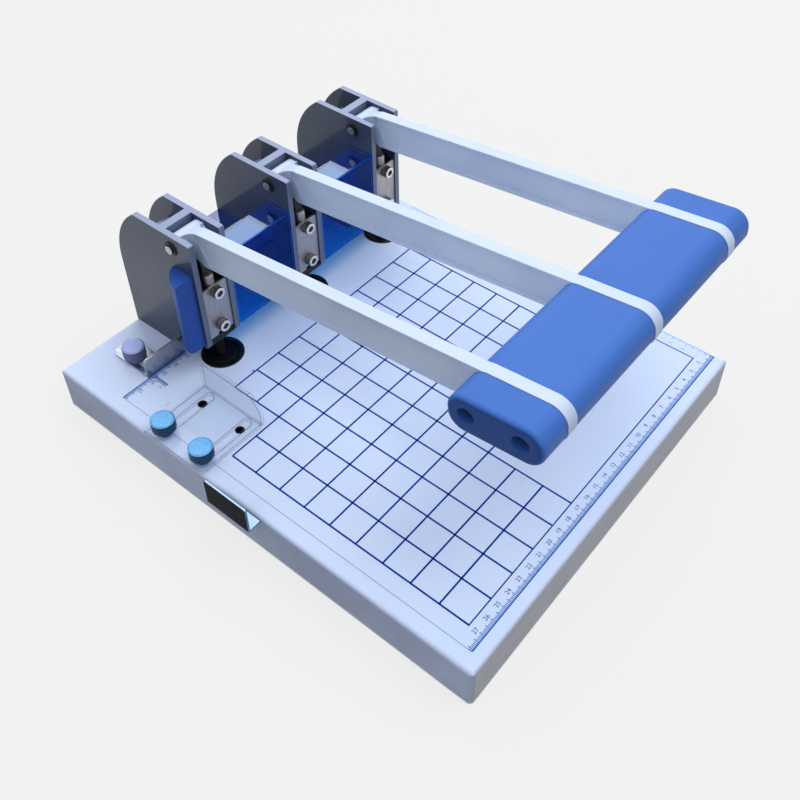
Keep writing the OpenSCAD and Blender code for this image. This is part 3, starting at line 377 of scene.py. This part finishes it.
RECIPES = {
    "deck_paint": (powder_coat, dict(
        color=rgb(0.61, 0.71, 0.92), shade=rgb(0.58, 0.685, 0.90), rough=0.45, dirt=0.25, gloss=0.2,
        side=rgb(0.40, 0.46, 0.65), front=rgb(0.44, 0.45, 0.5))),
    "lever_white": (powder_coat, dict(
        color=rgb(0.56, 0.655, 0.84), shade=rgb(0.53, 0.63, 0.82), rough=0.42, dirt=0.2, gloss=0.3,
        side=rgb(0.75, 0.855, 1.0))),
    "sheet_steel": (brushed, dict(
        color=rgb(0.5, 0.52, 0.56), shade=rgb(0.42, 0.44, 0.48), grain=(30, 900, 30), rough=0.38)),
    "screw_steel": (socket_screw, dict(axis="Y", end=rgb(0.82, 0.81, 0.82))),
    "bracket_grey": (satin_plate, dict(
        face=rgb(0.055, 0.076, 0.13), shade=rgb(0.043, 0.061, 0.108),
        painted_edge_light=rgb(0.13, 0.16, 0.24), painted_light_and_wear=rgb(0.25, 0.3, 0.46))),
    "black_oxide": (black_oxide, dict(
        color=rgb(0.022, 0.022, 0.026), shade=rgb(0.05, 0.048, 0.048), rough=0.42)),
    "pad_black": (black_oxide, dict(
        color=rgb(0.006, 0.008, 0.014), shade=rgb(0.012, 0.014, 0.022), rough=0.5)),
    "cup_steel": (black_oxide, dict(
        color=rgb(0.01, 0.012, 0.02), shade=rgb(0.03, 0.032, 0.04), rough=0.35)),
    "cover_steel": (brushed, dict(
        color=rgb(0.47, 0.45, 0.46), shade=rgb(0.37, 0.355, 0.365), grain=(900, 60, 60), rough=0.42)),
    "spring_steel": (brushed, dict(
        color=rgb(0.4, 0.4, 0.42), shade=rgb(0.3, 0.3, 0.32), grain=(200, 200, 900), rough=0.3)),
    "handle_blue": (moulded, dict(
        color=rgb(0.05, 0.156, 0.52), shade=rgb(0.042, 0.14, 0.48), rough=0.42,
        end=rgb(0.012, 0.07, 0.3))),
    "guard_solid_blue": (moulded, dict(
        color=rgb(0.025, 0.095, 0.42), shade=rgb(0.02, 0.08, 0.37), rough=0.45)),
    "guard_clear_blue": (clear_sheet, dict(
        tint=rgb(0.05, 0.7, 0.97), deep=rgb(0.03, 0.63, 0.94), body=rgb(0.001, 0.06, 0.65),
        haze=0.1, upright_haze=0.0, gleam=0.3, flat_gleam=3.4, reflect=rgb(0.8, 0.9, 1.0),
        rear=(GUARD_REAR - 0.008, GUARD_REAR - 0.004, rgb(0.01, 0.12, 0.5)))),
    "acrylic": (clear_sheet, dict(
        tint=rgb(0.998, 1.0, 1.0), deep=rgb(0.992, 0.997, 1.0), body=rgb(0.72, 0.78, 0.9),
        haze=0.005, upright_haze=0.24, gleam=0.3, flat_gleam=0.15, reflect=rgb(0.92, 0.95, 1.0))),
    "knob_metal": (brushed, dict(
        color=rgb(0.19, 0.5, 0.85), shade=rgb(0.15, 0.41, 0.76), grain=(500, 500, 40), rough=0.38,
        metallic=0.8, side=rgb(0.012, 0.045, 0.12))),
    "stop_steel": (brushed, dict(
        color=rgb(0.48, 0.51, 0.57), shade=rgb(0.36, 0.39, 0.45), grain=(700, 40, 40), rough=0.2)),
    "rubber": (rubber, dict(color=rgb(0.022, 0.022, 0.024), dusty=rgb(0.05, 0.048, 0.046))),

    "stop_dark": (polished, dict(face=rgb(0.001, 0.004, 0.008), rest=rgb(0.3, 0.46, 0.68))),
    "knob_silver": (brushed, dict(
        color=rgb(0.36, 0.42, 0.74), shade=rgb(0.31, 0.37, 0.67), grain=(500, 500, 40), rough=0.4,
        metallic=0.8, side=rgb(0.2, 0.22, 0.36))),
    "ink_navy": (ink, dict(color=rgb(0.0, 0.03, 0.29), fade=rgb(0.002, 0.052, 0.38))),
    "ink_ruler": (ink, dict(color=rgb(0.006, 0.13, 0.47), fade=rgb(0.03, 0.21, 0.58))),
    "ink_pale": (ink, dict(color=rgb(0.2, 0.32, 0.56), fade=rgb(0.3, 0.42, 0.66))),
    "guard_rim": (sheet_rim, dict(color=rgb(0.1, 0.34, 0.95), cover=0.7)),
    "acrylic_rim": (sheet_rim, dict(color=rgb(0.1, 0.13, 0.22), cover=0.55)),
    "pin_steel": (socket_screw, dict(axis="X", end=rgb(0.48, 0.46, 0.46))),
}
MATERIALS = {name: maker(name, **looks) for name, (maker, looks) in RECIPES.items()}

SPECIAL = {"rear_knob": "knob_silver", "side_stop": "stop_dark",
           "pivot_pins": "pin_steel", "tie_rods": "pin_steel"}
for node, obj in frame["nodes"].items():
    if not obj.material_slots:
        obj.data.materials.append(None)
    for held in obj.material_slots:
        held.material = MATERIALS[SPECIAL.get(node, slot_of[node])]


# New objects

def linked(name, data):
    obj = bpy.data.objects.new(name, data)
    bpy.context.scene.collection.objects.link(obj)
    return obj


def mesh_object(name, verts, faces, material):
    mesh = bpy.data.meshes.new(name)
    mesh.from_pydata([tuple(v) for v in verts], [], faces)
    mesh.materials.append(material)
    return linked(name, mesh)


def bmesh_object(name, bm, *materials):
    """An object made from a bmesh, which is freed."""
    mesh = bpy.data.meshes.new(name)
    bm.to_mesh(mesh)
    bm.free()
    for material in materials:
        mesh.materials.append(material)
    return linked(name, mesh)


# Clear sheets: a hair above the deck, so that they share no face with it, with softened rims

SHEET_LIFT = 0.00015
WELD, FLAT_ANGLE, SHARP_ANGLE = 1e-6, 0.01, 0.5
RIM_SLOT = 1


def soften(bm, width):
    """Rounds every edge where flat faces meet at a clear angle; the rounds take the rim's material."""
    bmesh.ops.remove_doubles(bm, verts=bm.verts, dist=WELD)
    bmesh.ops.dissolve_limit(bm, angle_limit=FLAT_ANGLE, verts=bm.verts, edges=bm.edges)
    sharp = [e for e in bm.edges if len(e.link_faces) == 2 and e.calc_face_angle(0.0) > SHARP_ANGLE]
    bmesh.ops.bevel(bm, geom=sharp, offset=width, offset_type="OFFSET", segments=2, profile=0.5,
                    affect="EDGES", clamp_overlap=True, material=RIM_SLOT)


for node, rim, width in (("acrylic_guide", "acrylic_rim", 0.0002),
                         ("mid_guard_1", "guard_rim", 0.0004),
                         ("mid_guard_2", "guard_rim", 0.0004)):
    bm = bmesh.new()
    bm.from_mesh(frame["nodes"][node].data)
    for vertex in bm.verts:
        vertex.co.z = max(vertex.co.z, DECK_Z + SHEET_LIFT)
    soften(bm, width)
    sheet = bmesh_object(node + "_sheet", bm, MATERIALS[slot_of[node]], MATERIALS[rim])
    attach(sheet, body_of[node])
    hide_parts(node)


# Cap screws on the cover plates: knurled side, chamfer and hexagon socket

HEAD_R, HEAD_L = 0.00425, 0.005
UNDER_HEAD = 0.0002                                             # bevel below the head
CHAMFER = ((0.0007, 0.00005), (0.0003, 0.0002), (0.0, 0.0006))  # below the face, in from the side
KNURL_DEPTH, KNURL_END = 0.00013, 0.0008
SHANK_R, TIP = 0.002, 0.0003
SOCKET, SOCKET_LEAD, SOCKET_DEPTH = 0.002, 0.0003, 0.0027       # the first is half across flats
AROUND = 72
ROUND, KNURLED, HEXAGON = range(3)


def cap_screw(bm, x, z, seat, end):
    """One screw along Y: its head's underside on `seat`, its tip at `end`."""
    face = seat - HEAD_L
    # Place along Y, radius and kind of each ring, from the tip to the floor of the socket
    rings = [(end, SHANK_R - TIP, ROUND), (end - TIP, SHANK_R, ROUND), (seat, SHANK_R, ROUND),
             (seat, HEAD_R - UNDER_HEAD, ROUND), (seat - UNDER_HEAD, HEAD_R, KNURLED),
             (face + KNURL_END, HEAD_R, KNURLED)]
    rings += [(face + depth, HEAD_R - inset, ROUND) for depth, inset in CHAMFER]
    rings += [(face, SOCKET_LEAD, HEXAGON), (face + SOCKET_LEAD, 0.0, HEXAGON),
              (face + SOCKET_DEPTH, 0.0, HEXAGON)]
    rows = []
    for y, reach, kind in rings:
        row = []
        for k in range(AROUND):
            angle = 2 * math.pi * k / AROUND
            radius = reach
            if kind == KNURLED and k % 2:
                radius -= KNURL_DEPTH
            elif kind == HEXAGON:
                radius += SOCKET / math.cos((angle + math.pi / 6) % (math.pi / 3) - math.pi / 6)
            row.append(bm.verts.new((x + radius * math.cos(angle), y, z + radius * math.sin(angle))))
        rows.append(row)
    for low, high in zip(rows, rows[1:]):
        for k in range(AROUND):
            after = (k + 1) % AROUND
            bm.faces.new((low[k], low[after], high[after], high[k]))
    bm.faces.new(rows[0][::-1])
    bm.faces.new(rows[-1])


for k in (1, 2, 3):
    node = f"clamp_screws_{k}"
    low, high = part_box(node)
    head = (high[0] - low[0]) / 2
    bm = bmesh.new()
    for z in (low[2] + head, high[2] - head):
        cap_screw(bm, (low[0] + high[0]) / 2, z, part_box(f"cover_{k}")[0][1], high[1])
    bmesh.ops.recalc_face_normals(bm, faces=bm.faces)
    caps = bmesh_object(node + "_caps", bm, MATERIALS["screw_steel"])
    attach(caps, body_of[node])
    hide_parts(node)


# Printing on the deck: places and widths in millimetres from the grid's corner

PRINT_LIFT = Vector((0, 0, 0.00005))    # metres


class Print:
    """Flat ink strokes just above the deck, gathered into one mesh."""

    def __init__(self, name, material):
        self.name, self.material, self.verts, self.faces = name, MATERIALS[material], [], []

    def patch(self, *corners):
        first = len(self.verts)
        self.verts += [at(x, y) + PRINT_LIFT for x, y in corners]
        self.faces.append(tuple(range(first, len(self.verts))))

    def arrow(self, x, y, size):
        """Small triangle that points along +X at (x, y)."""
        self.patch((x - size, y - size / 2), (x, y), (x - size, y + size / 2))

    def bar(self, x0, y0, x1, y1):
        self.patch((x0, y0), (x1, y0), (x1, y1), (x0, y1))

    def across(self, y, x0, x1, width):
        self.bar(x0, y - width / 2, x1, y + width / 2)

    def along(self, x, y0, y1, width):
        self.bar(x - width / 2, y0, x + width / 2, y1)

    def digits(self, number, x, y, size):
        """A number in Blender's own font, centred on (x, y)."""
        curve = bpy.data.curves.new("digits", "FONT")
        curve.body, curve.size, curve.align_x, curve.align_y = str(number), size / 1000, "CENTER", "CENTER"
        holder = linked("digits", curve)
        bpy.context.view_layer.update()
        drawn = holder.evaluated_get(bpy.context.evaluated_depsgraph_get()).to_mesh()
        first = len(self.verts)
        self.verts += [at(x, y) + v.co + PRINT_LIFT for v in drawn.vertices]
        self.faces += [tuple(first + i for i in p.vertices) for p in drawn.polygons]
        holder.to_mesh_clear()
        bpy.data.objects.remove(holder)
        bpy.data.curves.remove(curve)

    def done(self):
        obj = mesh_object(self.name, self.verts, self.faces, self.material)
        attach(obj, "base")


def tick(k, fifth, other):
    """`fifth` for every fifth mark of a millimetre scale, `other` for the rest."""
    return fifth if k % 5 == 0 else other


SQUARE, GRID_W = 20.0, 1.15
FRAME_X, FRAME_W = 250.9, 0.8                # thin frame in front of the grid and right of it
FRONT_RULE, BACK_RULE = -10.3, 269.6         # base lines of the rulers along X
LEFT_RULE, RIGHT_RULE, RULE_W = -11.2, 260.6, 0.4
SHORT_X, SHORT_Y = 14.2, 268.0               # short scale behind the side guide
LAST_CM = 27                                 # the front ruler's number at the grid's corner

grid = Print("grid_print", "ink_navy")
for i in range(12):
    low = 0.0 if i <= 5 else 3 * SQUARE
    high = 9 * SQUARE if i < 2 else 11 * SQUARE
    grid.along(i * SQUARE, low, high, GRID_W)
for j in range(1, 12):
    x0 = 0.0 if j <= 9 else 2 * SQUARE
    x1 = 5 * SQUARE if j in (1, 2) else 11 * SQUARE
    grid.across(j * SQUARE, x0, x1, GRID_W)
grid.across(0.0, -GRID_W / 2, FRAME_X, FRAME_W)
grid.arrow(59.2, 221.4, 1.9)
grid.along(FRAME_X, -FRAME_W / 2, 3 * SQUARE, FRAME_W)
grid.done()

ruler = Print("ruler_print", "ink_ruler")
ruler.across(FRONT_RULE, -11.0, 260.7, 0.8)
for k in range(-11, 261):
    ruler.along(k + 0.2, -10.2, -10.2 + tick(k, 3.4, 2.5), tick(k, 0.55, 0.45))
ruler.across(BACK_RULE, -11.4, 42.0, 0.7)
for k in range(-11, 42):
    ruler.along(k, BACK_RULE - tick(k, 3.4, 2.4), BACK_RULE, tick(k, 0.6, 0.52))
ruler.along(SHORT_X, 255.4, SHORT_Y, 0.7)
for k in range(13):
    ruler.across(SHORT_Y - k, SHORT_X - tick(k, 3.0, 2.2), SHORT_X, 0.5)
ruler.done()

pale = Print("ruler_side_print", "ink_pale")
pale.along(LEFT_RULE, FRONT_RULE, BACK_RULE, RULE_W)
pale.along(RIGHT_RULE, FRONT_RULE, 250.0, RULE_W)
for k in range(51):
    pale.across(k * 5.0 - 0.3, RIGHT_RULE - (2.0 if k % 2 else 2.8), RIGHT_RULE, 0.35)
pale.across(242.8, 1.4, 4.6, RULE_W)
pale.done()

numbers = Print("ruler_numbers", "ink_navy")
for k in range(1, LAST_CM + 1):
    numbers.digits(k, 10.0 * (LAST_CM - k) - 0.6, -4.7, 3.9)
for k in range(23, LAST_CM + 1):
    numbers.digits(k, 10.0 * (LAST_CM - k) - 0.5, 264.9, 3.7)
numbers.digits(1, 9.6, 257.6, 3.4)
numbers.done()

side_numbers = Print("ruler_side_numbers", "ink_pale")
for k in range(1, 26):
    side_numbers.digits(k, 254.2, 10.0 * k - 10.7, 3.2)
side_numbers.done()


# Floor, light and camera

BACKGROUND = rgb(0.885, 0.885, 0.885)
FLOOR, FLOOR_GLOW = 6.0, 0.88
BRIGHT_SIDE = (0.42, 0.38, 0.82)
ROOM_DIM, ROOM_BRIGHT = 0.34, 1.06
LAMP_AIM = Vector((0, 0, 0.05))
# Name, place, width in metres, power in watts and colour
LAMPS = (("window", (0.5, -0.6, 1.8), 1.2, 12.0, (0.93, 0.96, 1.0)),
         ("softbox", (1.43, 1.14, 1.76), 2.3, 15.5, (0.93, 0.955, 1.0)))

# The photograph's camera, solved on the printed grid: in pixels, and its axes as directions
IMAGE_PX, SENSOR_MM = 800, 36.0
FOCAL_PX, CENTRE_PX = 1012.24, (423.47, 302.74)
CAMERA_PLACE = at(-230.33, -151.75, 490.26)
RIGHT = Vector((0.625133, -0.780513, 0.003005))
DOWN = Vector((-0.531714, -0.428676, -0.730423))
FORWARD = Vector((0.571392, 0.455013, -0.682989))


def stage_floor():
    """Plain floor: pale where it is seen, and dim in the light that it throws back."""
    s = Shader("floor_paper")
    lit = s.add("ShaderNodeBsdfDiffuse", {"Color": rgb(0.86, 0.86, 0.86), "Roughness": 0.6})["BSDF"]
    glow = s.add("ShaderNodeEmission", {"Color": BACKGROUND, "Strength": 1.0})["Emission"]
    dim = s.add("ShaderNodeBsdfDiffuse", {"Color": rgb(0.17, 0.175, 0.19)})["BSDF"]
    paper = s.finish(s.blend(s.seen_ray(), dim, s.blend(FLOOR_GLOW, lit, glow)))
    corners = [(-FLOOR, -FLOOR, 0), (FLOOR, -FLOOR, 0), (FLOOR, FLOOR, 0), (-FLOOR, FLOOR, 0)]
    obj = mesh_object("floor", corners, [(0, 1, 2, 3)], paper)


def sky():
    """Room light that falls off away from the softbox's side, and a plain pale background."""
    world = bpy.data.worlds.new("soft_room")
    bpy.context.scene.world = world
    world.use_nodes = True
    n = Nodes(world.node_tree)
    coords = n.add("ShaderNodeTexCoord")["Generated"]
    lean = n.add("ShaderNodeVectorMath", {0: coords, 1: BRIGHT_SIDE}, operation="DOT_PRODUCT")["Value"]
    shade = n.ramp(lean, -0.35, 0.85, ROOM_DIM, ROOM_BRIGHT, interpolation_type="SMOOTHSTEP")
    room = n.add("ShaderNodeBackground", {"Color": rgb(0.93, 0.955, 1.0), "Strength": shade})["Background"]
    pale = n.add("ShaderNodeBackground", {"Color": BACKGROUND, "Strength": 1.0})["Background"]
    n.add("ShaderNodeOutputWorld", {"Surface": n.blend(n.seen_ray(), room, pale)})


def lamp(name, place, size, power, color):
    """Round soft lamp, which the camera doesn't see."""
    data = bpy.data.lights.new(name, "AREA")
    data.shape, data.size, data.energy, data.color = "DISK", size, power, color
    obj = linked(name, data)
    obj.location = place
    obj.rotation_mode = "QUATERNION"
    obj.rotation_quaternion = (LAMP_AIM - Vector(place)).to_track_quat("-Z", "Y")
    obj.visible_camera = False


def photo_camera():
    data = bpy.data.cameras.new("camera")
    data.sensor_width = SENSOR_MM
    data.lens = FOCAL_PX / IMAGE_PX * SENSOR_MM
    data.shift_x = (IMAGE_PX / 2 - CENTRE_PX[0]) / IMAGE_PX
    data.shift_y = -(IMAGE_PX / 2 - CENTRE_PX[1]) / IMAGE_PX
    data.clip_start, data.clip_end = 0.01, 50.0
    obj = linked("camera", data)
    turn = Matrix((RIGHT, -DOWN, -FORWARD)).transposed()
    obj.matrix_world = Matrix.Translation(CAMERA_PLACE) @ turn.to_4x4()
    bpy.context.scene.camera = obj


stage_floor()
sky()
for settings in LAMPS:
    lamp(*settings)
photo_camera()
bpy.context.scene.view_settings.view_transform = "Standard"
